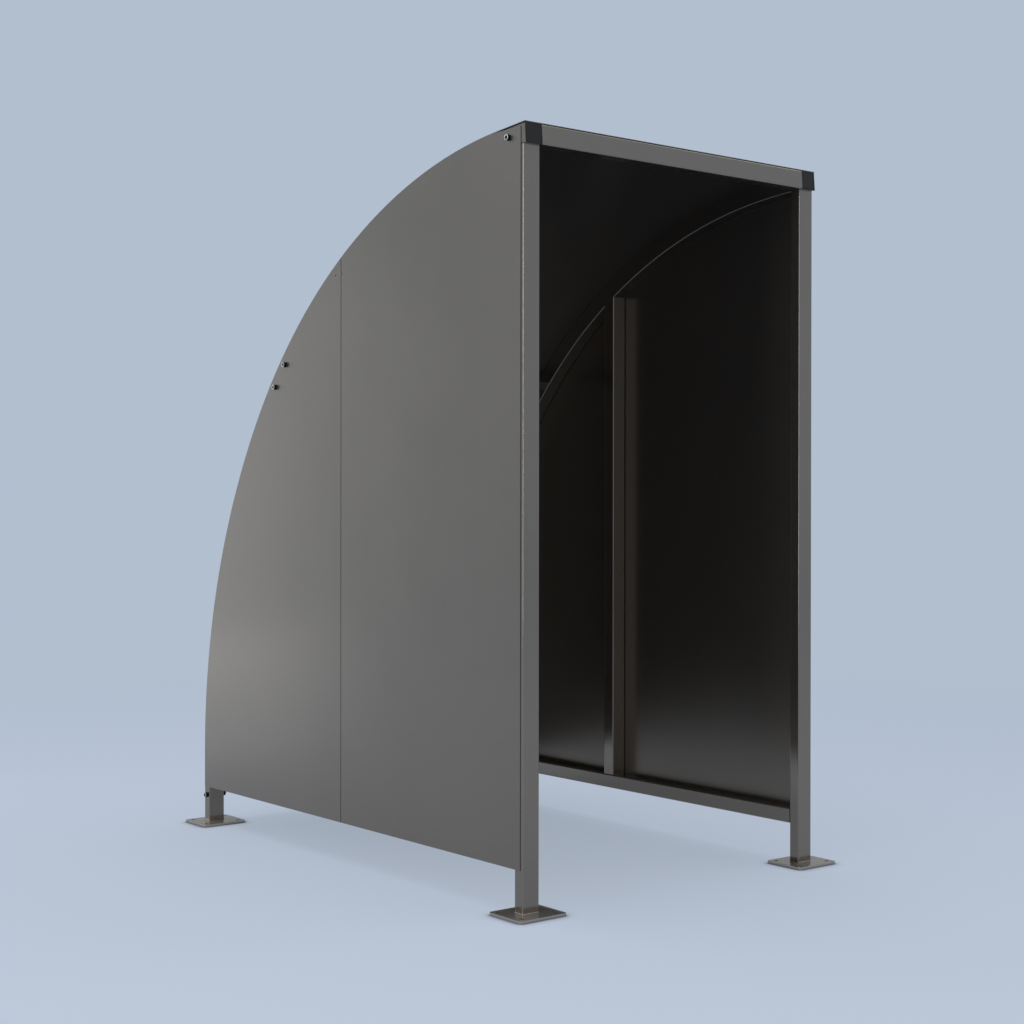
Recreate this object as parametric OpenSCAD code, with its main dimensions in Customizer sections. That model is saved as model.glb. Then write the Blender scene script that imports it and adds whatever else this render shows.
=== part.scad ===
// Bicycle shelter with a quarter-round side profile.
// +X runs to the right along the open front, +Y to the back, +Z up.
// The origin lies on the floor, midway between the four base plates.

/* [Shelter] */
// Distance between the axes of the two front posts
foot_span_x = 1150; // [800:10:1600]
// Distance between the centres of the front and the rear base plates
foot_span_y = 1828; // [1500:1:2300]
// Height of the top front edge of the frame above the floor
frame_h = 2260; // [1800:10:2800]
// Height of the lower edge of the walls above the floor
wall_gap = 132; // [80:1:250]

/* [Frame tubes] */
// Width of every frame tube, across the wall
tube_w = 60; // [50:1:80]
// Depth of the front posts and the front beam, along the wall
post_d = 40; // [30:1:60]
// Depth of the rear legs, along the wall
leg_d = 35; // [28:1:45]
// Depth of the mid-posts, along the wall
mid_post_d = 50; // [40:1:65]
// Depth of the arch tubes and of the rails between them
arch_d = 60; // [40:1:80]
// Height of the bottom rails
rail_h = 50; // [30:1:70]
// Thickness of the cross rail along the roof
cross_rail_t = 40; // [30:1:60]
// Wall thickness of the tubes
tube_wall = 3; // [2:0.5:4]
// Outer corner radius of the tubes
corner_r = 5; // [4:0.5:6]
// Outer corner radius of the rear legs
leg_corner_r = 2; // [1:0.5:4]

/* [Arch] */
// How much wider the radius of the lower bend is than the upper one's
lower_more = 225; // [150:5:250]
// Overhang of the arch in front of the front posts, at its top corner
arch_overhang = 7; // [0:1:20]
// Distance of the arch's back face behind the centres of the rear base plates
arch_back = 34; // [25:1:36]
// Angle of the cross rail, measured from the rear around the upper bend
cross_rail_angle = 43; // [40:0.1:60]

/* [Sheets] */
// Thickness of the side panels
panel_t = 2; // [1.5:0.5:4]
// Thickness of the roof sheets
roof_t = 2; // [1.5:0.5:4]
// Distance of the panels' front edge behind the face of the front posts
panel_setback = 12; // [5:1:15]
// Distance of the panels' level top edge below the top front edge of the frame
panel_top_drop = 11; // [2:1:30]
// Distance of the panel seam in front of the mid-post's back face
seam_inset = 7; // [6:1:20]
// Gap between two neighbouring sheets
seam_gap = 3; // [1:0.5:4]
// Distance of the mid-post's axis behind the front post's axis
mid_post_run = 914; // [600:1:1100]

/* [Feet] */
// Width of a base plate
plate_w = 172; // [150:1:220]
// Depth of a base plate
plate_d = 147; // [135:1:200]
// Thickness of a base plate
plate_t = 9; // [6:1:15]
// Corner radius of a base plate
plate_r = 10; // [5:1:20]
// How much further out than the front base plates the rear ones lie
rear_plate_out = 8; // [0:1:12]
// How much further back than their base plates' centres the front posts stand
post_back = 5; // [0:1:10]
// Diameter of the anchor holes
anchor_d = 14; // [10:1:18]
// Distance from an anchor hole to each edge of the plate
anchor_inset = 22; // [15:1:30]

/* [Fasteners] */
// Head diameter of the socket screws
head_d = 18; // [13:1:20]
// Head height of the socket screws
head_h = 10; // [8:1:14]
// Shank diameter of the socket screws
shank_d = 12; // [8:1:12]
// Width across the flats of the hexagon sockets
socket_af = 10; // [6:1:10]
// Depth of the hexagon sockets
socket_depth = 6; // [4:1:8]
// Distance of the upper rail screw above the cross rail's axis
rail_screw_lift = 10; // [0:1:12]
// Distance between the two rail screws along the arch
rail_screw_pitch = 99; // [70:1:120]
// Distance of the beam screw behind the front of the beam
beam_screw_back = 76; // [62:1:100]
// Height of the leg bolt above the floor
leg_bolt_z = 102; // [60:1:115]
// Head diameter of the small panel screws
small_head_d = 7; // [6:1:12]
// Head height of the small panel screws
small_head_h = 2; // [1:0.5:3]
// Distance of the small screws below the roof, at the seam
small_screw_drop = 52; // [40:1:55]
// Distance between the two small screws
small_screw_pitch = 36; // [20:1:40]

/* [Hidden] */
$fn = 96;

front_plate_y = -foot_span_y / 2;
rear_plate_y = foot_span_y / 2;
front_y = front_plate_y + post_back;
// Outer face of the arch tubes at the back.
back_y = rear_plate_y + arch_back;
post_face_y = front_y - post_d / 2;
front_plate_x = foot_span_x / 2;
rear_plate_x = front_plate_x + rear_plate_out;
// Planes across the width.
tube_in_x = foot_span_x / 2 - tube_w / 2;
tube_out_x = foot_span_x / 2 + tube_w / 2;
skin_x = tube_out_x + panel_t;

// Rear legs: their outer and back faces are flush with the sheets.
leg_x = skin_x - tube_w / 2;
leg_y = back_y + roof_t - leg_d / 2;

// Top front corner of the arch tube.
nose_y = post_face_y - arch_overhang;
nose_z = frame_h;

// Directions across the arch where its two bends meet, and where the upper
// bend meets the straight front end. Both are exact decimals of length 1, so
// neighbouring stretches of the arch join without a step.
meet_dir = [0.8, 0.6];
front_dir = [0.07584, 0.99712];
front_angle = atan2(front_dir[1], front_dir[0]);

// The upper bend is as large as the shelter's depth and height allow. The
// straight ends of the arch take up what the two bends leave.
upper_r = min(foot_span_y + 27, frame_h - 405);
lower_r = upper_r + lower_more;
run = back_y - nose_y - lower_r + lower_more * meet_dir[0] + upper_r * front_dir[0];
front_straight = run / front_dir[1];
rise = lower_more * meet_dir[1] + upper_r * front_dir[1] + front_straight * front_dir[0];
bend_start_z = nose_z - rise;

// Bend centres, as [Y, Z].
lower_c = [back_y - lower_r, bend_start_z];
upper_c = lower_c + lower_more * meet_dir;

// Walls and rails.
rail_top_z = wall_gap + rail_h;
mid_post_y = front_y + mid_post_run;
seam_y = mid_post_y + mid_post_d / 2 - seam_inset;
panel_front_y = post_face_y + panel_setback;
mid_r = upper_r - arch_d / 2;
seat_clear = 0.2;
reach = 6000;
// Angle taken up by the joint between the two roof sheets.
joint_angle = seam_gap / upper_r * 180 / PI;

// Fasteners.
upper_screw_angle = cross_rail_angle + rail_screw_lift / mid_r * 180 / PI;
lower_screw_angle = upper_screw_angle - rail_screw_pitch / mid_r * 180 / PI;
seam_top_z = upper_c[1] + sqrt(pow(upper_r, 2) - pow(seam_y - upper_c[0], 2));
small_screw_z = seam_top_z - small_screw_drop;
screw_grip = 10;
small_shank_d = 4;
hole_clear = 0.5;
nut_af = 18;
nut_h = 10;
washer_d = 24;
washer_t = 2.5;
bolt_end = 4;

// Small parts.
cap_t = 3;
cap_corner_r = 2;
cap_plug = 20;
cap_fit = 0.3;
leg_head_t = 5;

// ---- Shared shapes ----

// Direction at an angle.
function unit(angle) = [cos(angle), sin(angle)];

// A rectangle with rounded corners, centred on the origin.
module rounded(w, h, r) {
    square([w - 2 * r, h], center = true);
    square([w, h - 2 * r], center = true);
    for (sx = [-1, 1], sy = [-1, 1])
        translate([sx * (w / 2 - r), sy * (h / 2 - r)])
            circle(r);
}

// Cross-section of a hollow frame tube.
module tube_section(w, h, r = corner_r) {
    difference() {
        rounded(w, h, r);
        rounded(w - 2 * tube_wall, h - 2 * tube_wall, max(r - tube_wall, 0.5));
    }
}

// Turns a drawing in the side view (x = Y, y = Z) upright, with its own
// z along the shelter's X.
module side_view() {
    rotate([90, 0, 90])
        children();
}

// Puts a piece drawn for the right side on the side named: 1 right, -1 left.
module on_side(side) {
    if (side > 0)
        children();
    else
        mirror([1, 0, 0])
            children();
}

// Moves to the centre of the lower or the upper bend, in the side view.
module at_lower_c() {
    translate(lower_c)
        children();
}

module at_upper_c() {
    at_lower_c()
        translate(lower_more * meet_dir)
            children();
}

// Puts a piece on the tube's axis near the front end: x out of the arch, y forwards.
module at_nose(back) {
    at_upper_c()
        rotate(front_angle)
            translate([mid_r, front_straight - back])
                children();
}

// Puts a piece on the tube's axis at an angle around the upper bend.
module at_upper(angle) {
    at_upper_c()
        rotate(angle)
            translate([mid_r, 0])
                children();
}

// The corner between two directions, as a flat area.
module wedge(from, to) {
    polygon([
        [0, 0],
        reach * from,
        reach * to,
    ]);
}

// A section turned around the X axis, cut to the corner between two directions.
module bend(r, from, to) {
    intersection() {
        rotate_extrude($fn = 360)
            translate([r, 0])
                children();
        translate([0, 0, -reach / 2])
            linear_extrude(reach)
                wedge(from, to);
    }
}

// The next modules sweep a section along one stretch of the arch. The section's
// x points out of the arch, from its outer face, and its y across.
module along_front(length) {
    at_upper_c()
        rotate(front_angle)
            translate([upper_r, 0])
                rotate([-90, 0, 0])
                    linear_extrude(length)
                        children();
}

module along_upper(from, to) {
    at_upper_c()
        bend(upper_r, from, to)
            children();
}

module along_lower() {
    at_lower_c()
        bend(lower_r, [1, 0], meet_dir)
            children();
}

module along_back(from_z) {
    at_lower_c()
        translate([lower_r, 0])
            rotate([90, 0, 0])
                linear_extrude(bend_start_z - from_z)
                    children();
}

// The area of a side wall: inside the arch's outer face, cut level at the
// bottom and, just behind the front end, at the top.
module arch_area() {
    intersection() {
        translate([panel_front_y, wall_gap])
            square([reach, nose_z - panel_top_drop - wall_gap]);
        union() {
            at_upper_c()
                intersection() {
                    circle(upper_r, $fn = 360);
                    wedge(meet_dir, front_dir);
                }
            at_lower_c()
                intersection() {
                    circle(lower_r, $fn = 360);
                    wedge([1, 0], meet_dir);
                }
            at_lower_c()
                translate([0, -bend_start_z])
                    square([lower_r, bend_start_z]);
            at_upper_c()
                rotate(front_angle)
                    square([upper_r, front_straight]);
        }
    }
}

// Places of the wall's screws in the side view.
module at_rail_screws() {
    for (angle = [lower_screw_angle, upper_screw_angle])
        at_upper(angle)
            children();
}

module at_seam_screws() {
    for (step = [0, 1])
        translate([seam_y + step * small_screw_pitch, small_screw_z])
            children();
}

module screw_hole(d) {
    translate([0, 0, skin_x - screw_grip - 1])
        cylinder(d = d + hole_clear, h = screw_grip + 2);
}

// Drills the holes of the wall's screws in a piece of the right side.
module drilled() {
    difference() {
        children();
        side_view() {
            at_nose(beam_screw_back)
                screw_hole(shank_d);
            at_rail_screws()
                screw_hole(shank_d);
            at_seam_screws()
                screw_hole(small_shank_d);
        }
    }
}

// ---- Feet ----

module base_plate(side, x, y) {
    color("dimgray")
        translate([side * x, y, 0])
            difference() {
                linear_extrude(plate_t)
                    rounded(plate_w, plate_d, plate_r);
                for (sx = [-1, 1], sy = [-1, 1])
                    translate([
                        sx * (plate_w / 2 - anchor_inset),
                        sy * (plate_d / 2 - anchor_inset),
                        -1,
                    ])
                        cylinder(d = anchor_d, h = plate_t + 2);
            }
}

// ---- Frame ----

// A post of a side wall, as deep as told, between two heights.
module upright(side, y, depth, from, to) {
    translate([side * foot_span_x / 2, y, from])
        linear_extrude(to - from)
            tube_section(tube_w, depth);
}

// Front post, cut at the top to the slope of the arch tube that rests on it.
module front_post(side) {
    color("dimgray")
        intersection() {
            upright(side, front_y, post_d, plate_t, nose_z);
            side_view()
                translate([0, 0, -reach / 2])
                    linear_extrude(reach)
                        at_upper_c()
                            rotate(front_angle)
                                translate([upper_r - arch_d - reach, -reach / 2])
                                    square([reach, reach]);
        }
}

// Rear leg below the arch tube, drilled for its cross bolt.
module rear_leg(side) {
    color("dimgray")
        difference() {
            translate([side * leg_x, leg_y, plate_t])
                linear_extrude(wall_gap - plate_t)
                    tube_section(tube_w, leg_d, leg_corner_r);
            translate([side * leg_x, leg_y, leg_bolt_z])
                rotate([0, 90, 0])
                    cylinder(d = shank_d + hole_clear, h = tube_w + 2, center = true);
        }
}

// Plate that closes the arch tube's lower end and carries it on the leg.
module leg_head(side) {
    color("dimgray")
        translate([side * foot_span_x / 2, back_y - arch_d / 2, wall_gap])
            linear_extrude(leg_head_t)
                rounded(tube_w, arch_d, corner_r);
}

module arch_section() {
    translate([-arch_d / 2, 0])
        tube_section(arch_d, tube_w);
}

module arch_tube(side) {
    color("dimgray")
        on_side(side)
            drilled()
                side_view()
                    translate([0, 0, foot_span_x / 2]) {
                        along_front(front_straight - cap_t)
                            arch_section();
                        along_upper(meet_dir, front_dir)
                            arch_section();
                        along_lower()
                            arch_section();
                        along_back(wall_gap + leg_head_t)
                            arch_section();
                    }
}

// Black plastic plug that closes the front end of an arch tube.
module end_cap(side) {
    bore_d = arch_d - 2 * (tube_wall + cap_fit);
    bore_w = tube_w - 2 * (tube_wall + cap_fit);
    color("black")
        side_view()
            translate([0, 0, side * foot_span_x / 2])
                at_nose(0)
                    rotate([90, 0, 0]) {
                        linear_extrude(cap_t)
                            rounded(arch_d, tube_w, cap_corner_r);
                        linear_extrude(cap_t + cap_plug)
                            rounded(bore_d, bore_w, corner_r - tube_wall);
                    }
}

module front_beam() {
    color("dimgray")
        side_view()
            at_nose(post_d / 2)
                linear_extrude(2 * tube_in_x, center = true)
                    tube_section(arch_d, post_d);
}

module cross_rail() {
    color("dimgray")
        side_view()
            at_upper(cross_rail_angle)
                translate([-seat_clear, 0])
                    linear_extrude(2 * tube_in_x, center = true)
                        tube_section(arch_d, cross_rail_t);
}

module rear_bottom_rail() {
    color("dimgray")
        side_view()
            translate([back_y - arch_d / 2, wall_gap + rail_h / 2])
                linear_extrude(2 * tube_in_x, center = true)
                    tube_section(arch_d, rail_h);
}

module bottom_rail(side) {
    from_y = front_y + post_d / 2;
    to_y = back_y - arch_d;
    color("dimgray")
        translate([side * foot_span_x / 2, to_y, wall_gap + rail_h / 2])
            rotate([90, 0, 0])
                linear_extrude(to_y - from_y)
                    tube_section(tube_w, rail_h);
}

// Post in the middle of a side wall, cut at the top to the bend it carries.
module mid_post(side) {
    color("dimgray")
        intersection() {
            upright(side, mid_post_y, mid_post_d, rail_top_z, nose_z);
            side_view()
                at_upper_c()
                    cylinder(r = upper_r - arch_d, h = reach, center = true, $fn = 360);
        }
}

// ---- Sheets ----

module side_panel(side, from_y, to_y) {
    color("gray")
        on_side(side)
            drilled()
                side_view()
                    translate([0, 0, tube_out_x])
                        linear_extrude(panel_t)
                            intersection() {
                                arch_area();
                                translate([from_y, 0])
                                    square([to_y - from_y, reach]);
                            }
}

// Section of a roof sheet, lying on the arch's outer face.
module roof_section() {
    translate([0, -skin_x])
        square([roof_t, 2 * skin_x]);
}

module roof_sheet_front() {
    color("gray")
        side_view() {
            along_front(front_straight)
                roof_section();
            along_upper(unit(cross_rail_angle + joint_angle / 2), front_dir)
                roof_section();
        }
}

module roof_sheet_rear() {
    color("gray")
        side_view() {
            along_upper(meet_dir, unit(cross_rail_angle - joint_angle / 2))
                roof_section();
            along_lower()
                roof_section();
            along_back(wall_gap)
                roof_section();
        }
}

// ---- Fasteners ----

// Socket screw that points inwards, with its head on the face at face_x.
module socket_screw(face_x, grip) {
    translate([0, 0, face_x - grip])
        cylinder(d = shank_d, h = grip + head_h / 4);
    translate([0, 0, face_x])
        difference() {
            cylinder(d = head_d, h = head_h);
            translate([0, 0, head_h - socket_depth])
                rotate(30)
                    cylinder(d = socket_af / cos(30), h = socket_depth + 1, $fn = 6);
        }
}

module beam_screw(side) {
    color("silver")
        on_side(side)
            side_view()
                at_nose(beam_screw_back)
                    socket_screw(skin_x, screw_grip);
}

module rail_screws(side) {
    color("silver")
        on_side(side)
            side_view()
                at_rail_screws()
                    socket_screw(skin_x, screw_grip);
}

// Bolt through the rear leg, with a washer and a nut on the inner face.
module leg_bolt(side) {
    nut_x = skin_x - tube_w - washer_t;
    color("silver")
        on_side(side)
            side_view()
                translate([leg_y, leg_bolt_z]) {
                    socket_screw(skin_x, tube_w + washer_t + nut_h + bolt_end);
                    translate([0, 0, nut_x])
                        cylinder(d = washer_d, h = washer_t);
                    translate([0, 0, nut_x - nut_h])
                        cylinder(d = nut_af / cos(30), h = nut_h, $fn = 6);
                }
}

// Two small flat-headed screws at the top of the panel seam.
module seam_screws(side) {
    color("dimgray")
        on_side(side)
            side_view()
                at_seam_screws() {
                    translate([0, 0, skin_x])
                        cylinder(d = small_head_d, h = small_head_h);
                    translate([0, 0, skin_x - screw_grip])
                        cylinder(d = small_shank_d, h = screw_grip + small_head_h / 2);
                }
}

base_plate(-1, front_plate_x, front_plate_y);  // base_plate_front_left
base_plate(1, front_plate_x, front_plate_y);  // base_plate_front_right
base_plate(-1, rear_plate_x, rear_plate_y);  // base_plate_rear_left
base_plate(1, rear_plate_x, rear_plate_y);  // base_plate_rear_right
front_post(-1);  // front_post_left
front_post(1);  // front_post_right
rear_leg(-1);  // rear_leg_left
rear_leg(1);  // rear_leg_right
leg_head(-1);  // leg_head_left
leg_head(1);  // leg_head_right
arch_tube(-1);  // arch_tube_left
arch_tube(1);  // arch_tube_right
end_cap(-1);  // end_cap_left
end_cap(1);  // end_cap_right
front_beam();
cross_rail();
rear_bottom_rail();
bottom_rail(-1);  // bottom_rail_left
bottom_rail(1);  // bottom_rail_right
mid_post(-1);  // mid_post_left
mid_post(1);  // mid_post_right
side_panel(-1, -reach, seam_y - seam_gap / 2);  // side_panel_front_left
side_panel(1, -reach, seam_y - seam_gap / 2);  // side_panel_front_right
side_panel(-1, seam_y + seam_gap / 2, reach);  // side_panel_rear_left
side_panel(1, seam_y + seam_gap / 2, reach);  // side_panel_rear_right
roof_sheet_front();
roof_sheet_rear();
beam_screw(-1);  // beam_screw_left
beam_screw(1);  // beam_screw_right
rail_screws(-1);  // rail_screws_left
rail_screws(1);  // rail_screws_right
leg_bolt(-1);  // leg_bolt_left
leg_bolt(1);  // leg_bolt_right
seam_screws(-1);  // seam_screws_left
seam_screws(1);  // seam_screws_right
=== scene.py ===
# %% [markdown]
# A bicycle shelter made of painted steel tube and sheet, finished in cells.
# The shape of every tube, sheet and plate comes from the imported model, which is
# loaded first and never changed. This file gives each of them its real finish,
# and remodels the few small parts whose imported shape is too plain: base plates,
# end caps, screws and welds. All lengths are in metres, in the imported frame.

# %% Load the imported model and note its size
import math

import bmesh
import bpy
from mathutils import Matrix, Vector


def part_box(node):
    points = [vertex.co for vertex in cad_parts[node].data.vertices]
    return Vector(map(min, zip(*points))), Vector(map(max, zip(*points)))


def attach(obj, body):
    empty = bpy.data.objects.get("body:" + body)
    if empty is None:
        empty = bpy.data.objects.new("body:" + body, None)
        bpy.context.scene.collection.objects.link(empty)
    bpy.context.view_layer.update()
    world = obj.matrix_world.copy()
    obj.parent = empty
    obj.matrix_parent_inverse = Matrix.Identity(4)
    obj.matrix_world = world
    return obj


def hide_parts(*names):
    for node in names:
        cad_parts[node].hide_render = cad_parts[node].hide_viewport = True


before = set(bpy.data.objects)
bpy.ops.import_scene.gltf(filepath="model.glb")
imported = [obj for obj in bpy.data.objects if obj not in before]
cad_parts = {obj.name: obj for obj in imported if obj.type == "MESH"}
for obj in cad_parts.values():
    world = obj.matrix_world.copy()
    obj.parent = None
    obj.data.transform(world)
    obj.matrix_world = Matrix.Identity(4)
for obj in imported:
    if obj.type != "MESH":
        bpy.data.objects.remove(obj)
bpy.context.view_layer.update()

# %% [markdown]
# Materials are built from nodes. One small function adds a node, sets its
# values and makes its links, so that a material reads as a short list. Colours
# are written as hex values, the way a paint card gives them, and another small
# function turns them into the linear numbers that light is reckoned in. Every
# pattern reads Object coordinates: those need no unwrapping, and one unit of
# them is one metre on every piece, so a pattern's scale is a real length.

# %% Helpers for materials
MM = 0.001


def linear(hex_colour):
    values = [int(hex_colour[i:i + 2], 16) / 255 for i in (1, 3, 5)]
    return (*[v / 12.92 if v <= 0.04045 else ((v + 0.055) / 1.055) ** 2.4 for v in values], 1)


def add_node(tree, kind, settings=None, values=None, links=None):
    node = tree.nodes.new(kind)
    for name, value in (settings or {}).items():
        setattr(node, name, value)
    for name, value in (values or {}).items():
        node.inputs[name].default_value = value
    for name, socket in (links or {}).items():
        tree.links.new(socket, node.inputs[name])
    return node


def new_material(name):
    material = bpy.data.materials.new(name)
    material.use_nodes = True
    tree = material.node_tree
    shader = tree.nodes["Principled BSDF"]
    place = add_node(tree, "ShaderNodeTexCoord").outputs["Object"]
    return material, tree, shader, place


print("a warm mid grey in linear light:", [round(v, 3) for v in linear("#5c5b57")])

# %% [markdown]
# The paint is powder coat with fine mica flakes in it, sprayed on dry and then
# baked. What the eye sees is mostly light thrown back by the flakes, so the
# shader is mostly metallic, with a small matt share for the binder. A flat
# metallic colour would look like bare plastic. The real coat also has a grain
# where the powder melted together, flakes a little paler than their ground, and
# faint clouds where it came out thicker or thinner. Two noise textures give all
# three. The real grain is about half a millimetre wide. It is drawn three times
# coarser, because at its real size it would not show from a few steps away.

# %% Recipe for powder coat
GRAIN = 1.6 * MM
CLOUD = 420 * MM
SHADE_SPREAD = 0.02
GLOSS_SPREAD = 0.015


def powder_coat(name, colour, flake, metal, roughness, grain_depth, glance="#ffffff"):
    material, tree, shader, place = new_material(name)
    grain = add_node(tree, "ShaderNodeTexNoise",
                     values={"Scale": 1 / GRAIN, "Detail": 2, "Roughness": 0.6},
                     links={"Vector": place}).outputs["Fac"]
    cloud = add_node(tree, "ShaderNodeTexNoise",
                     values={"Scale": 1 / CLOUD, "Detail": 3, "Roughness": 0.55},
                     links={"Vector": place}).outputs["Fac"]
    speck = add_node(tree, "ShaderNodeMapRange", values={"From Min": 0.35, "From Max": 0.7},
                     links={"Value": grain}).outputs["Result"]
    tint = add_node(tree, "ShaderNodeMix", {"data_type": "RGBA"},
                    {6: linear(colour), 7: linear(flake)}, {"Factor": speck}).outputs[2]
    shade = add_node(tree, "ShaderNodeMapRange",
                     values={"From Min": 0.3, "From Max": 0.7,
                             "To Min": 1 - SHADE_SPREAD, "To Max": 1 + SHADE_SPREAD},
                     links={"Value": cloud}).outputs["Result"]
    toned = add_node(tree, "ShaderNodeVectorMath", {"operation": "SCALE"},
                     links={0: tint, "Scale": shade}).outputs["Vector"]
    gloss = add_node(tree, "ShaderNodeMapRange",
                     values={"From Min": 0.3, "From Max": 0.7,
                             "To Min": roughness - GLOSS_SPREAD,
                             "To Max": roughness + GLOSS_SPREAD},
                     links={"Value": cloud}).outputs["Result"]
    bump = add_node(tree, "ShaderNodeBump", values={"Strength": 0.6, "Distance": grain_depth},
                    links={"Height": grain}).outputs["Normal"]
    shader.inputs["Metallic"].default_value = metal
    shader.inputs["Specular Tint"].default_value = linear(glance)
    tree.links.new(toned, shader.inputs["Base Color"])
    tree.links.new(gloss, shader.inputs["Roughness"])
    tree.links.new(bump, shader.inputs["Normal"])
    return material


print("grain and clouds of the coat, mm:", round(GRAIN / MM, 1), round(CLOUD / MM))

# %% [markdown]
# Three kinds of part share this recipe with numbers of their own. Tube is drawn
# through a die and is very smooth under its coat, so it mirrors sharply. Sheet
# has a softer shine, because its coat lies a little rougher. The base plates
# get a coat painted paler than the tube's, with paler flakes: painted light for
# the plates, which lie flat and face up into the light. Their shine has a warm
# tint where light only grazes them. One coat for all would be simpler, but then
# the posts would not stand out against the walls.

# %% Powder coat on tube, sheet and plate
tube_coat = powder_coat("powder_coat_on_tube", "#8a8074", "#958b7f", 0.84, 0.15, 0.02 * MM)
sheet_coat = powder_coat("powder_coat_on_sheet", "#83796d", "#8d8377", 0.82, 0.3, 0.012 * MM)
# the plate colours are painted paler than the tube's: painted light on the plates
plate_coat_painted_paler = powder_coat("powder_coat_on_plate_with_painted_light", "#aea498", "#b8aea2", 0.7, 0.2, 0.02 * MM,
                         glance="#d2c8ba")
print("made:", tube_coat.name, sheet_coat.name, plate_coat_painted_paler.name)

# %% [markdown]
# The caps that close the front ends of the arch tubes are moulded polyethylene:
# black, softer in shine than the paint, with the fine spark texture that the
# mould leaves, and a trace of dust in it. The texture could be real geometry,
# but it is only hundredths of a millimetre deep, so a bump is enough. It traps
# light, and that is why the specular level is below the usual half.

# %% Moulded black plastic
SPARK = 1.2 * MM
DUST = 40 * MM


def moulded_plastic(name, colour, dust_colour):
    material, tree, shader, place = new_material(name)
    spark = add_node(tree, "ShaderNodeTexNoise", values={"Scale": 1 / SPARK, "Detail": 2},
                     links={"Vector": place}).outputs["Fac"]
    dust = add_node(tree, "ShaderNodeTexNoise", values={"Scale": 1 / DUST, "Detail": 4},
                    links={"Vector": place}).outputs["Fac"]
    tint = add_node(tree, "ShaderNodeMix", {"data_type": "RGBA"},
                    {6: linear(colour), 7: linear(dust_colour)}, {"Factor": dust}).outputs[2]
    bump = add_node(tree, "ShaderNodeBump", values={"Strength": 0.5, "Distance": 0.04 * MM},
                    links={"Height": spark}).outputs["Normal"]
    gloss = add_node(tree, "ShaderNodeMapRange", values={"To Min": 0.42, "To Max": 0.55},
                     links={"Value": dust}).outputs["Result"]
    shader.inputs["Specular IOR Level"].default_value = 0.28
    tree.links.new(tint, shader.inputs["Base Color"])
    tree.links.new(gloss, shader.inputs["Roughness"])
    tree.links.new(bump, shader.inputs["Normal"])
    return material


cap_plastic = moulded_plastic("moulded_polyethylene", "#211c16", "#302a21")
print("made:", cap_plastic.name)

# %% [markdown]
# The screws are turned from steel bar. Turning leaves fine rings, too small to
# see one by one, that spread the shine a little, so a noise finer than a
# millimetre stands for them. The face of a head is bright steel. Its side and
# its socket get a dark copy of the same steel, and so do the washer and nut:
# painted shade, for the shade on a head's side, in its socket and on the inner
# side of the legs. Two finishes from one recipe.

# %% Turned steel, bright and with painted shade
TURNING = 0.8 * MM


def turned_steel(name, colour, smooth, rough):
    material, tree, shader, place = new_material(name)
    fine = add_node(tree, "ShaderNodeTexNoise", values={"Scale": 1 / TURNING, "Detail": 3},
                    links={"Vector": place}).outputs["Fac"]
    gloss = add_node(tree, "ShaderNodeMapRange", values={"To Min": smooth, "To Max": rough},
                     links={"Value": fine}).outputs["Result"]
    bump = add_node(tree, "ShaderNodeBump", values={"Strength": 0.3, "Distance": 0.01 * MM},
                    links={"Height": fine}).outputs["Normal"]
    shader.inputs["Base Color"].default_value = linear(colour)
    shader.inputs["Metallic"].default_value = 1
    tree.links.new(gloss, shader.inputs["Roughness"])
    tree.links.new(bump, shader.inputs["Normal"])
    return material


bolt_steel = turned_steel("turned_stainless_steel", "#c9c8c4", 0.2, 0.34)
# a dark copy of the same steel: painted shade on head sides, sockets, washers and nuts
steel_with_painted_shade = turned_steel("steel_painted_dark_for_shade", "#26241f", 0.4, 0.55)
print("made:", bolt_steel.name, steel_with_painted_shade.name)

# %% [markdown]
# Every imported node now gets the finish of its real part. It could be done node
# by node, but a node's name says what it is, so a short list of beginnings of
# names is enough. What is not in the list is tube, or painted with the tubes.

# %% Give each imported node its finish
FINISHES = {
    "end_cap": cap_plastic,
    "beam_screw": bolt_steel,
    "rail_screws": bolt_steel,
    "leg_bolt": bolt_steel,
    "side_panel": sheet_coat,
    "roof_sheet": sheet_coat,
    "base_plate": plate_coat_painted_paler,
}
for name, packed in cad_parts.items():
    finish = next((m for start, m in FINISHES.items() if name.startswith(start)), tube_coat)
    packed.data.materials.clear()
    packed.data.materials.append(finish)
    for face in packed.data.polygons:
        face.material_index = 0
print(len(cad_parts), "nodes finished")

# %% [markdown]
# The pieces below are made with the operators that a person would use by hand.
# An operator works on whatever is selected, so each step first deselects
# everything and then picks its own piece, edges or faces, by place or by normal.
# A finished piece is handed over: it rides on the shelter's one body, and the
# imported nodes it stands for are hidden.

# %% Helpers for modelling
SMOOTH_UP_TO = math.radians(35)


def start_clean():
    if bpy.context.object and bpy.context.object.mode == "EDIT":
        bpy.ops.object.mode_set(mode="OBJECT")
    bpy.ops.object.select_all(action="DESELECT")


def make_active(piece):
    start_clean()
    piece.select_set(True)
    bpy.context.view_layer.objects.active = piece


def apply_modifiers(piece):
    make_active(piece)
    for modifier in list(piece.modifiers):
        bpy.ops.object.modifier_apply(modifier=modifier.name)


def set_material(piece, *materials):
    piece.data.materials.clear()
    for material in materials:
        piece.data.materials.append(material)


def hand_over(piece, slot, *nodes):
    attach(piece, "root")
    if nodes:
        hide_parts(*nodes)


print("edges that turn by over", round(math.degrees(SMOOTH_UP_TO)), "degrees are shaded sharp")

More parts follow.
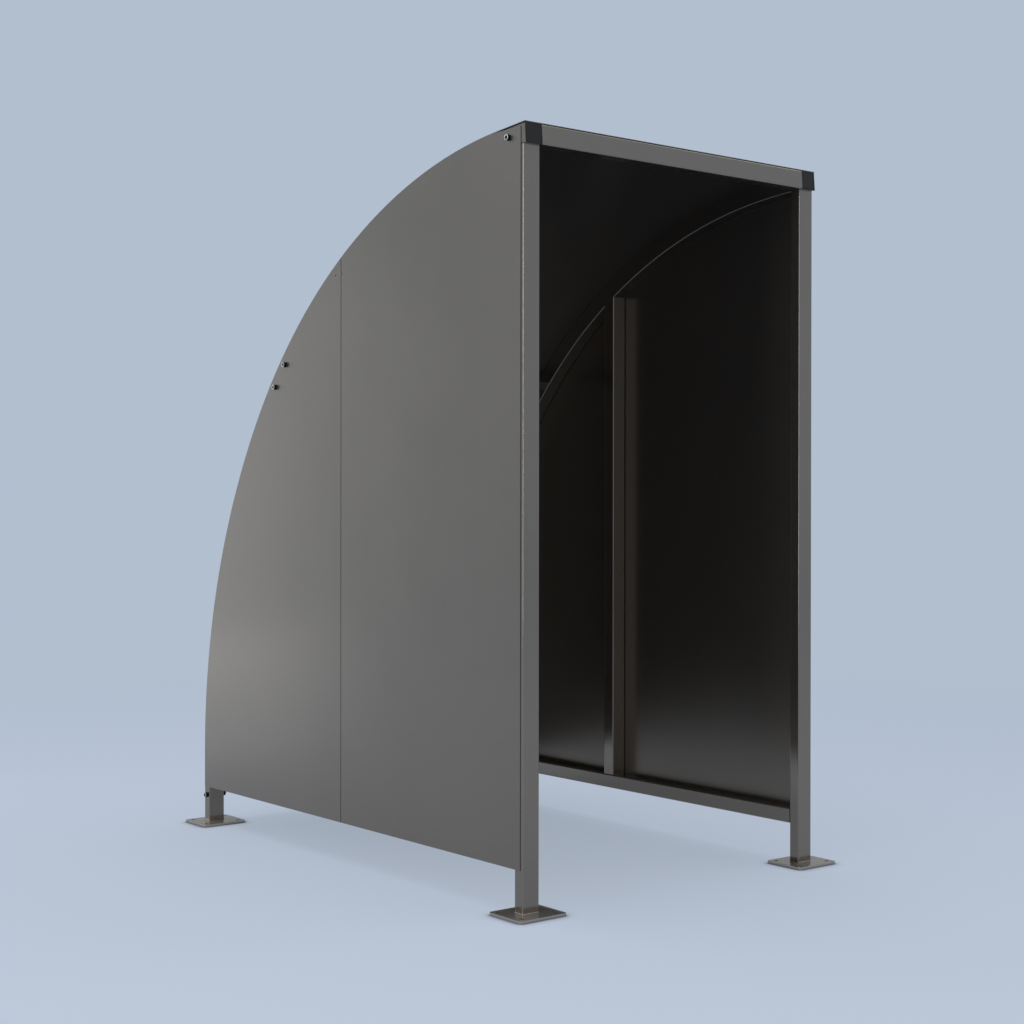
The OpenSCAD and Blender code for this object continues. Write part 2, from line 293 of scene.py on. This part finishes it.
# %% [markdown]
# The small steel and plastic parts carry most of what the eye checks up close:
# their edges. A cut plate or a moulded cap never has a knife-sharp edge. Such a
# part could be modelled afresh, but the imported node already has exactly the
# right size, so a copy of it is taken. Its loose triangles are merged and its
# flat areas become single faces. The shading directions that came with the
# triangles no longer fit then, so they are cleared. After that the edges can be
# rounded: every one that turns by more than 30 degrees by a Bevel modifier, or
# only chosen ones in edit mode.

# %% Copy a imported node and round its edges
SAME_POINT = 0.01 * MM
ROUNDING_STEPS = 3


def merged_copy(node_name, piece_name, merge=SAME_POINT):
    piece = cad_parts[node_name].copy()
    piece.data = piece.data.copy()
    piece.name = piece_name
    bpy.context.scene.collection.objects.link(piece)
    make_active(piece)
    bpy.ops.mesh.customdata_custom_splitnormals_clear()
    bpy.ops.object.mode_set(mode="EDIT")
    bpy.ops.mesh.select_all(action="SELECT")
    bpy.ops.mesh.remove_doubles(threshold=merge)
    bpy.ops.mesh.dissolve_limited(angle_limit=math.radians(1))
    bpy.ops.object.mode_set(mode="OBJECT")
    return piece


def round_every_edge(piece, width):
    bevel = piece.modifiers.new("rounded_edges", "BEVEL")
    bevel.width = width
    bevel.segments = ROUNDING_STEPS
    bevel.limit_method = "ANGLE"
    bevel.angle_limit = math.radians(30)
    bevel.use_clamp_overlap = True
    apply_modifiers(piece)
    bpy.ops.object.shade_smooth_by_angle(angle=SMOOTH_UP_TO)


def round_chosen_edges(piece, width, chosen):
    make_active(piece)
    bpy.ops.object.mode_set(mode="EDIT")
    bpy.ops.mesh.select_mode(type="EDGE")
    bpy.ops.mesh.select_all(action="DESELECT")
    shape = bmesh.from_edit_mesh(piece.data)
    for edge in shape.edges:
        edge.select_set(chosen(edge))
    bmesh.update_edit_mesh(piece.data)
    bpy.ops.mesh.bevel(offset=width, segments=ROUNDING_STEPS, affect="EDGES", clamp_overlap=True)
    bpy.ops.mesh.select_mode(type="FACE")
    bpy.ops.object.mode_set(mode="OBJECT")
    bpy.ops.object.shade_smooth_by_angle(angle=SMOOTH_UP_TO)


print("edges are rounded in", ROUNDING_STEPS, "steps")

# %% [markdown]
# The four base plates are cut from thick steel plate. Their outer edges are
# rounded off by about three millimetres with a grinder before painting, and it
# is that slope which catches the light all round the plate. A modifier would
# round the drilled holes too, but those keep their sharp rims. So only the level
# edges near the outside are chosen.

# %% Base plates
PLATE_ROUNDING = 3 * MM
RIM_BAND = 12 * MM
LEVEL = 0.1 * MM


def is_rim_edge(edge, low, high):
    start, end = (vertex.co for vertex in edge.verts)
    to_side = min(start.x - low[0], high[0] - start.x, start.y - low[1], high[1] - start.y)
    return abs(start.z - end.z) < LEVEL and to_side < RIM_BAND


for corner in ("front_left", "front_right", "rear_left", "rear_right"):
    node = "base_plate_" + corner
    low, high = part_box(node)
    plate = merged_copy(node, "filed_" + node)
    round_chosen_edges(plate, PLATE_ROUNDING, lambda edge: is_rim_edge(edge, low, high))
    set_material(plate, plate_coat_painted_paler)
    hand_over(plate, "frame_paint", node)
print("plate faces:", len(plate.data.polygons))

# %% [markdown]
# A moulded cap has a soft rim, and a shallow dish in its face where the plastic
# sank as it cooled. The dish could be cut by another shape, but two insets of
# the front face are quicker and leave clean faces: the first keeps a flat
# border, and the second is pushed in and makes the slope. The cap's corners are
# packed as very short edges, which would hold the rounding back, so points up to
# 0.3 mm apart are merged first.

# %% End caps
CAP_MERGE = 0.3 * MM
CAP_ROUNDING = 0.9 * MM
DISH_BORDER = 0.9 * MM
DISH_SLOPE = 0.4 * MM
DISH_DEPTH = 0.8 * MM


def select_faces(piece, test):
    bpy.ops.mesh.select_all(action="DESELECT")
    shape = bmesh.from_edit_mesh(piece.data)
    for face in shape.faces:
        if test(face.calc_center_median(), face.normal):
            face.select_set(True)
    bmesh.update_edit_mesh(piece.data)


def dished_cap(side):
    cap = merged_copy("end_cap_" + side, "moulded_end_cap_" + side, CAP_MERGE)
    round_every_edge(cap, CAP_ROUNDING)
    make_active(cap)
    bpy.ops.object.mode_set(mode="EDIT")
    bpy.ops.mesh.select_mode(type="FACE")
    select_faces(cap, lambda centre, normal: normal.y < -0.99)
    bpy.ops.mesh.dissolve_faces()
    shape = bmesh.from_edit_mesh(cap.data)
    inwards = -next(face.normal.copy() for face in shape.faces if face.select)
    bpy.ops.mesh.inset(thickness=DISH_BORDER, depth=0)
    bpy.ops.mesh.inset(thickness=DISH_SLOPE, depth=0)
    bpy.ops.transform.translate(value=inwards * DISH_DEPTH)
    bpy.ops.object.mode_set(mode="OBJECT")
    bpy.ops.object.shade_smooth_by_angle(angle=SMOOTH_UP_TO)
    set_material(cap, cap_plastic)
    hand_over(cap, "cap_plastic", "end_cap_" + side)
    return cap


caps = [dished_cap(side) for side in ("left", "right")]
print("cap faces:", len(caps[0].data.polygons))

# %% [markdown]
# The walls are held by cap screws. Such a screw is turned from bar: a plain
# round head with a chamfer, a thinner shank with a narrower tip, and a six-sided
# socket pressed into the head for the key. A spun profile would give the head
# and shank too, but a cylinder takes fewer steps: its rim is bevelled, its under
# side is inset and drawn out to the shank, and a six-sided cutter makes the
# socket. The pattern stands upright, with the under side of its head at zero.

# %% Steps for a socket screw
HEAD_R = 9 * MM
HEAD_H = 10 * MM
SOCKET_ACROSS = 10 * MM
SOCKET_DEPTH = 6 * MM
SOCKET_TURN = 0.5


def select_edges(piece, test):
    shape = bmesh.from_edit_mesh(piece.data)
    for edge in shape.edges:
        edge.select_set(all(test(vertex.co) for vertex in edge.verts))
    bmesh.update_edit_mesh(piece.data)


def add_cylinder(name, sides, radius, height, middle):
    start_clean()
    bpy.ops.mesh.primitive_cylinder_add(vertices=sides, radius=radius, depth=height,
                                        location=(0, 0, middle))
    piece = bpy.context.object
    piece.name = name
    bpy.ops.object.transform_apply(location=True, rotation=True, scale=True)
    return piece


def press_socket(screw):
    start_clean()
    bpy.ops.mesh.primitive_cylinder_add(vertices=6, depth=2 * SOCKET_DEPTH,
                                        radius=SOCKET_ACROSS / 2 / math.cos(math.pi / 6),
                                        location=(0, 0, HEAD_H), rotation=(0, 0, SOCKET_TURN))
    cutter = bpy.context.object
    cut = screw.modifiers.new("socket", "BOOLEAN")
    cut.operation = "DIFFERENCE"
    cut.solver = "EXACT"
    cut.object = cutter
    apply_modifiers(screw)
    bpy.data.objects.remove(cutter)


def paint_shade_on_side_and_socket(screw):
    # side and socket get the painted shade; the shank lies below zero and inside
    # the head's radius, so it stays bright
    set_material(screw, bolt_steel, steel_with_painted_shade)
    for face in screw.data.polygons:
        away = face.center.xy.length
        side = away > HEAD_R - 0.3 * MM and abs(face.normal.z) < 0.5
        socket = away < 0.6 * SOCKET_ACROSS and 0 < face.center.z < HEAD_H - 0.5 * MM
        face.material_index = int(side or socket)


print("socket, mm across and deep:", SOCKET_ACROSS / MM, SOCKET_DEPTH / MM)

# %% [markdown]
# The steps are put together in one function, because two lengths of screw are
# needed: a short one for the walls here, and a long one for the legs later. The
# short one only has to reach through the sheet and into the tube behind it.

# %% Pattern of a socket screw
HEAD_SIDES = 48
HEAD_CHAMFER = 0.9 * MM
SHANK_R = 6 * MM
TIP = 1 * MM
TIP_SHARE = 0.85
GRIP = 10 * MM


def socket_screw(name, shank_length):
    screw = add_cylinder(name, HEAD_SIDES, HEAD_R, HEAD_H, HEAD_H / 2)
    bpy.ops.object.mode_set(mode="EDIT")
    bpy.ops.mesh.select_mode(type="EDGE")
    bpy.ops.mesh.select_all(action="DESELECT")
    select_edges(screw, lambda co: co.z > HEAD_H - SAME_POINT)
    bpy.ops.mesh.bevel(offset=HEAD_CHAMFER, segments=2, affect="EDGES")
    bpy.ops.mesh.select_mode(type="FACE")
    select_faces(screw, lambda centre, normal: normal.z < -0.9)
    bpy.ops.mesh.inset(thickness=HEAD_R - SHANK_R, depth=0)
    for length in (shank_length - TIP, TIP):
        bpy.ops.mesh.extrude_region_move(TRANSFORM_OT_translate={"value": (0, 0, -length)})
    bpy.ops.transform.resize(value=(TIP_SHARE, TIP_SHARE, 1))
    bpy.ops.object.mode_set(mode="OBJECT")
    press_socket(screw)
    make_active(screw)
    bpy.ops.object.shade_smooth_by_angle(angle=SMOOTH_UP_TO)
    paint_shade_on_side_and_socket(screw)
    return screw


pattern_screw = socket_screw("pattern_screw", GRIP)
print("screw faces:", len(pattern_screw.data.polygons))

# %% [markdown]
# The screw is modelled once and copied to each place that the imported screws
# hold, each copy with a mesh of its own, turned so that the head points away
# from the wall. Places could be typed in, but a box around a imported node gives
# them: a lone screw sits in the middle of its box, and a pair sits in two
# opposite corners, one head radius in.

# %% Put the wall screws in place
def placed_copy(pattern, name, places):
    start_clean()
    copies = []
    for place, side in places:
        copy = pattern.copy()
        copy.data = pattern.data.copy()
        turn = Matrix.Rotation(side * math.pi / 2, 4, "Y")
        copy.data.transform(Matrix.Translation(place) @ turn)
        bpy.context.scene.collection.objects.link(copy)
        copies.append(copy)
    make_active(copies[0])
    for copy in copies:
        copy.select_set(True)
    if len(copies) > 1:
        bpy.ops.object.join()
    piece = bpy.context.object
    piece.name = name
    return piece


def wall_place(node_name, side, corner=None):
    low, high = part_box(node_name)
    x = high[0] - HEAD_H if side > 0 else low[0] + HEAD_H
    if corner is None:
        return Vector((x, (low[1] + high[1]) / 2, (low[2] + high[2]) / 2)), side
    if corner == "back":
        return Vector((x, high[1] - HEAD_R, low[2] + HEAD_R)), side
    return Vector((x, low[1] + HEAD_R, high[2] - HEAD_R)), side


SIDES = (("left", -1), ("right", 1))
for word, side in SIDES:
    beam_node, rail_node = "beam_screw_" + word, "rail_screws_" + word
    place = wall_place(beam_node, side)
    lone = placed_copy(pattern_screw, "cap_screw_beam_" + word, [place])
    pair = placed_copy(pattern_screw, "cap_screws_rail_" + word,
                       [wall_place(rail_node, side, corner) for corner in ("back", "front")])
    hand_over(lone, "bolt_steel", beam_node)
    hand_over(pair, "bolt_steel", rail_node)
    print(word, "beam screw at", [round(v, 3) for v in place[0]])

# %% [markdown]
# Each rear leg has a long bolt right through it, with a washer and a nut on the
# inner side. It is the same screw with a longer shank, so the same function
# makes it. The washer is a thin bevelled disc, and the nut starts from a
# six-sided cylinder with its corners taken off.

# %% Leg bolts with washer and nut
LEG_W = 60 * MM
WASHER_R = 12 * MM
WASHER_T = 2.5 * MM
NUT_ACROSS = 18 * MM
NUT_H = 10 * MM
BOLT_END = 4 * MM


def bevelled_disc(name, sides, radius, height, top, bevel):
    disc = add_cylinder(name, sides, radius, height, top - height / 2)
    bpy.ops.object.mode_set(mode="EDIT")
    bpy.ops.mesh.select_mode(type="EDGE")
    bpy.ops.mesh.select_all(action="DESELECT")
    for level in (top, top - height):
        select_edges(disc, lambda co: abs(co.z - level) < SAME_POINT)
        bpy.ops.mesh.bevel(offset=bevel, segments=2, affect="EDGES")
    bpy.ops.object.mode_set(mode="OBJECT")
    bpy.ops.object.shade_smooth_by_angle(angle=SMOOTH_UP_TO)
    # washer and nut take the dark steel: painted shade on the inner side of the leg
    set_material(disc, steel_with_painted_shade)
    return disc


def leg_bolt():
    bolt = socket_screw("pattern_leg_bolt", LEG_W + WASHER_T + NUT_H + BOLT_END)
    washer = bevelled_disc("washer", 48, WASHER_R, WASHER_T, -LEG_W, 0.3 * MM)
    nut_r = NUT_ACROSS / 2 / math.cos(math.pi / 6)
    nut = bevelled_disc("nut", 6, nut_r, NUT_H, -LEG_W - WASHER_T, 0.8 * MM)
    make_active(bolt)
    washer.select_set(True)
    nut.select_set(True)
    bpy.ops.object.join()
    return bolt


pattern_bolt = leg_bolt()
for word, side in SIDES:
    node = "leg_bolt_" + word
    bolt = placed_copy(pattern_bolt, "through_bolt_leg_" + word, [wall_place(node, side)])
    hand_over(bolt, "bolt_steel", node)
for pattern in (pattern_screw, pattern_bolt):
    bpy.data.objects.remove(pattern)
print("leg bolt faces:", len(bolt.data.polygons))

# %% [markdown]
# Near the top of each wall's seam sit two small screws with flat round heads,
# painted over with the wall. They are too small to need a model of their own:
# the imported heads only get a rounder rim.

# %% Small screws at the seam
SMALL_ROUNDING = 0.6 * MM
for word, side in SIDES:
    node = "seam_screws_" + word
    small = merged_copy(node, "flat_screws_seam_" + word)
    round_every_edge(small, SMALL_ROUNDING)
    set_material(small, tube_coat)
    hand_over(small, "frame_paint", node)
print("small screw faces:", len(small.data.polygons))

# %% [markdown]
# The posts and legs are welded to their base plates. A weld bead is a low round
# ridge that runs once round the foot, a bit uneven because it was laid by hand in
# short steps. A bevelled corner between two boxes would be too even for that. So
# a circle is swept round the foot: the outline of the tube is a plane with
# rounded corners, which becomes a curve with a round section. Then it is turned
# into a mesh, whose surface a small noise pushes in and out.

# %% Weld beads around the feet
PLATE_T = 9 * MM
BEAD_R = 1.9 * MM
BEAD_RIPPLE = 1.4 * MM
FOOT_CORNERS = {
    "front_post_left": 5 * MM,
    "front_post_right": 5 * MM,
    "rear_leg_left": 2 * MM,
    "rear_leg_right": 2 * MM,
}
ripple = bpy.data.textures.new("weld_ripple", "CLOUDS")
ripple.noise_scale = 5 * MM


def add_foot_outline(name, centre, width, depth, corner_r):
    start_clean()
    bpy.ops.mesh.primitive_plane_add(size=1, location=centre)
    outline = bpy.context.object
    outline.name = name
    outline.scale = (width, depth, 1)
    bpy.ops.object.transform_apply(location=False, rotation=False, scale=True)
    bpy.ops.object.mode_set(mode="EDIT")
    bpy.ops.mesh.select_all(action="SELECT")
    bpy.ops.mesh.bevel(offset=corner_r, segments=4, affect="VERTICES")
    bpy.ops.mesh.select_all(action="SELECT")
    bpy.ops.mesh.delete(type="ONLY_FACE")
    bpy.ops.mesh.select_all(action="SELECT")
    bpy.ops.mesh.subdivide(number_cuts=8)
    bpy.ops.object.mode_set(mode="OBJECT")


def weld_bead(name, centre, width, depth, corner_r):
    add_foot_outline(name, centre, width, depth, corner_r)
    bpy.ops.object.convert(target="CURVE")
    bead = bpy.context.object
    bead.data.bevel_depth = BEAD_R
    bead.data.bevel_resolution = 3
    bpy.ops.object.convert(target="MESH")
    bead = bpy.context.object
    bpy.ops.object.transform_apply(location=True, rotation=True, scale=True)
    uneven = bead.modifiers.new("uneven", "DISPLACE")
    uneven.texture = ripple
    uneven.texture_coords = "GLOBAL"
    uneven.strength = BEAD_RIPPLE
    uneven.mid_level = 0.55
    apply_modifiers(bead)
    bpy.ops.object.shade_smooth()
    set_material(bead, tube_coat)
    hand_over(bead, "frame_paint")
    return bead


for foot, corner_r in FOOT_CORNERS.items():
    low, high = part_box(foot)
    centre = ((low[0] + high[0]) / 2, (low[1] + high[1]) / 2, PLATE_T)
    bead = weld_bead("weld_bead_" + foot, centre, high[0] - low[0], high[1] - low[1], corner_r)
print("bead faces:", len(bead.data.polygons))

# %% [markdown]
# A plain pale studio surrounds the shelter. It could be a lit white room, but
# that would throw a lot of light up at the shelter. So floor and backdrop have
# two sides: a colour for rays that come straight from the camera, through glass,
# or off something shiny, and real light for all the others. The Light Path node
# tells which ray is asking. Its answer for shiny surfaces can be turned down.

# %% Which rays see the studio's own colour
def seen_directly(tree, mirrored=1.0):
    path = add_node(tree, "ShaderNodeLightPath")
    straight = add_node(tree, "ShaderNodeMath", {"operation": "MAXIMUM"},
                        links={0: path.outputs["Is Camera Ray"],
                               1: path.outputs["Is Transmission Ray"]}).outputs["Value"]
    shine = add_node(tree, "ShaderNodeMath", {"operation": "MULTIPLY"}, {1: mirrored},
                     {0: path.outputs["Is Glossy Ray"]}).outputs["Value"]
    return add_node(tree, "ShaderNodeMath", {"operation": "MAXIMUM"},
                    links={0: straight, 1: shine}).outputs["Value"]


FAR_COLOUR = "#b2bfcf"
NEAR_COLOUR = "#bfcada"
print("studio colours:", FAR_COLOUR, "far away,", NEAR_COLOUR, "on the near floor")

# %% [markdown]
# The floor is plain and runs out to a backdrop of the same colour, so that no
# edge is in view. On the camera's side it is a little paler, and that fades out
# with distance. Near the shelter a share of the real light is mixed in, and with
# it the shelter's shadow. Round the base plates an Ambient Occlusion node gives
# the thin dark line where steel meets floor: it asks how much of the sky each
# spot sees within a few centimetres.

# %% Floor
FLOOR_HALF = 60
FLOOR_IN_SHINE = 0.78
SHADOW_SHARE = 0.3
CONTACT_REACH = 40 * MM
CONTACT_POWER = 3.5
CAMERA_SIDE = (-0.6, -0.8, 0)


def floor_colour(tree, place, away):
    front = add_node(tree, "ShaderNodeVectorMath", {"operation": "DOT_PRODUCT"},
                     {1: CAMERA_SIDE}, {0: place}).outputs["Value"]
    towards = add_node(tree, "ShaderNodeMapRange", {"interpolation_type": "SMOOTHSTEP"},
                       {"From Min": -3.0, "From Max": 3.0}, {"Value": front}).outputs["Result"]
    close = add_node(tree, "ShaderNodeMapRange", {"interpolation_type": "SMOOTHSTEP"},
                     {"From Min": 14.0, "From Max": 4.0}, {"Value": away}).outputs["Result"]
    paler = add_node(tree, "ShaderNodeMath", {"operation": "MULTIPLY"},
                     links={0: towards, 1: close}).outputs["Value"]
    return add_node(tree, "ShaderNodeMix", {"data_type": "RGBA"},
                    {6: linear(FAR_COLOUR), 7: linear(NEAR_COLOUR)}, {"Factor": paler}).outputs[2]


def floor_paint():
    material, tree, shader, place = new_material("painted_studio_floor")
    shader.inputs["Base Color"].default_value = linear("#9cacc6")
    shader.inputs["Roughness"].default_value = 0.6
    away = add_node(tree, "ShaderNodeVectorMath", {"operation": "LENGTH"},
                    links={0: place}).outputs["Value"]
    shadow = add_node(tree, "ShaderNodeMapRange", {"interpolation_type": "SMOOTHSTEP"},
                      {"From Min": 7.0, "From Max": 1.5, "To Min": 0.0, "To Max": SHADOW_SHARE},
                      {"Value": away}).outputs["Result"]
    open_sky = add_node(tree, "ShaderNodeAmbientOcclusion", {"samples": 12},
                        {"Distance": CONTACT_REACH}).outputs["AO"]
    contact = add_node(tree, "ShaderNodeMath", {"operation": "POWER"}, {1: CONTACT_POWER},
                       {0: open_sky}).outputs["Value"]
    flat = add_node(tree, "ShaderNodeEmission",
                    links={"Color": floor_colour(tree, place, away), "Strength": contact})
    lit = add_node(tree, "ShaderNodeBsdfDiffuse", values={"Color": linear("#d0d2dc")})
    kept = add_node(tree, "ShaderNodeMixShader",
                    links={0: shadow, 1: flat.outputs["Emission"], 2: lit.outputs["BSDF"]})
    final = add_node(tree, "ShaderNodeMixShader",
                     links={0: seen_directly(tree, FLOOR_IN_SHINE),
                            1: shader.outputs["BSDF"], 2: kept.outputs["Shader"]})
    tree.links.new(final.outputs["Shader"], tree.nodes["Material Output"].inputs["Surface"])
    return material


start_clean()
bpy.ops.mesh.primitive_plane_add(size=2 * FLOOR_HALF, location=(0, 0, 0))
floor = bpy.context.object
floor.name = "floor"
floor.data.materials.append(floor_paint())
print("floor, m across:", 2 * FLOOR_HALF)

# %% [markdown]
# The world is the backdrop above the floor's far edge and the soft light from
# all sides. A painted wall could stand there, but the world has no corner and
# casts no shadow. Seen directly it has the far floor's colour, and for all other
# light it is a pale, slightly cool sky at about half strength.

# %% Background
world = bpy.data.worlds.new("studio")
bpy.context.scene.world = world
world.use_nodes = True
tree = world.node_tree
around = tree.nodes["Background"]
around.inputs["Color"].default_value = linear("#d3deee")
around.inputs["Strength"].default_value = 0.56
backdrop = add_node(tree, "ShaderNodeBackground",
                    values={"Color": linear(FAR_COLOUR), "Strength": 1.0})
seen = add_node(tree, "ShaderNodeMixShader",
                links={0: seen_directly(tree), 1: around.outputs["Background"],
                       2: backdrop.outputs["Background"]})
tree.links.new(seen.outputs["Shader"], tree.nodes["World Output"].inputs["Surface"])
print("made the world:", world.name)

# %% [markdown]
# Metallic paint shows the lamps as much as its own colour, so each lamp is
# there for a surface that mirrors it. One large lamp and one tall strip stand on
# the left: the strip draws the bright lines down the corners of the posts. Two
# smaller ones stand behind on the left, and brighten the wall towards its rear
# edge and the rear leg. Two high lamps, behind and to the right, light the plates
# and the roof, and a very large one straight above gives the even light and the
# soft shadow. A single lamp would leave the walls dull. All are a little cool,
# against the warm paint.

# %% Lamps
LAMP_COLOUR = (0.93, 1.0, 1.07)
# name: (place, what it points at, width, height, watts)
LAMPS = {
    "left_lamp": ((-9, 1.5, 5), (-0.6, 0.0, 1.2), 8, 5, 92),
    "strip_lamp": ((-9, -2, 2.2), (-0.6, -0.9, 1.0), 1.2, 4, 90),
    "rear_left_lamp": ((-2.2, 5.4, 1.5), (-0.6, 0.3, 0.9), 2.6, 3.0, 17),
    "low_left_lamp": ((-1.35, 2.2, 0.3), (-0.6, 0.8, 0.3), 1.0, 0.6, 0.65),
    "rear_high_lamp": ((-2.5, 8, 6), (-0.6, -0.9, 0), 4, 3, 60),
    "right_high_lamp": ((6.5, -3, 7), (-0.6, -0.9, 0), 4, 4, 60),
    "top_lamp": ((0, 0, 8), (0, 0, 0), 9, 9, 330),
}


def soft_lamp(name, place, target, width, height, power):
    data = bpy.data.lights.new(name, "AREA")
    data.shape = "RECTANGLE"
    data.size = width
    data.size_y = height
    data.energy = power
    data.color = LAMP_COLOUR
    lamp = bpy.data.objects.new(name, data)
    lamp.location = place
    aim = Vector(target) - Vector(place)
    lamp.rotation_euler = aim.to_track_quat("-Z", "Y").to_euler()
    lamp.visible_camera = False
    bpy.context.scene.collection.objects.link(lamp)


for name, settings in LAMPS.items():
    soft_lamp(name, *settings)
print("lamps:", len(LAMPS))

# %% [markdown]
# The camera stands about six metres away at the height of a person's chest, and
# looks almost level at the open front and the left wall. It could be aimed at a
# point, but then it would stand exactly upright. So its turn is put together
# from three plain turns: about its own axis, up or down, and round to the side.

# %% Camera
CAMERA_PLACE = (-3.6404, -4.7153, 1.1758)
YAW, PITCH, ROLL = 0.6691, -0.0047, 0.0011
SENSOR_W = 36
LENS = 60.159375
VIEW_END = 200

data = bpy.data.cameras.new("camera")
data.sensor_width = SENSOR_W
data.lens = LENS
data.clip_end = VIEW_END
camera = bpy.data.objects.new("camera", data)
camera.location = CAMERA_PLACE
turn = (Matrix.Rotation(-YAW, 3, "Z") @ Matrix.Rotation(math.pi / 2 + PITCH, 3, "X")
        @ Matrix.Rotation(ROLL, 3, "Z"))
camera.rotation_euler = turn.to_euler()
bpy.context.scene.collection.objects.link(camera)
bpy.context.scene.camera = camera
bpy.context.scene.view_settings.view_transform = "Standard"
print("lens, mm:", round(camera.data.lens, 2))
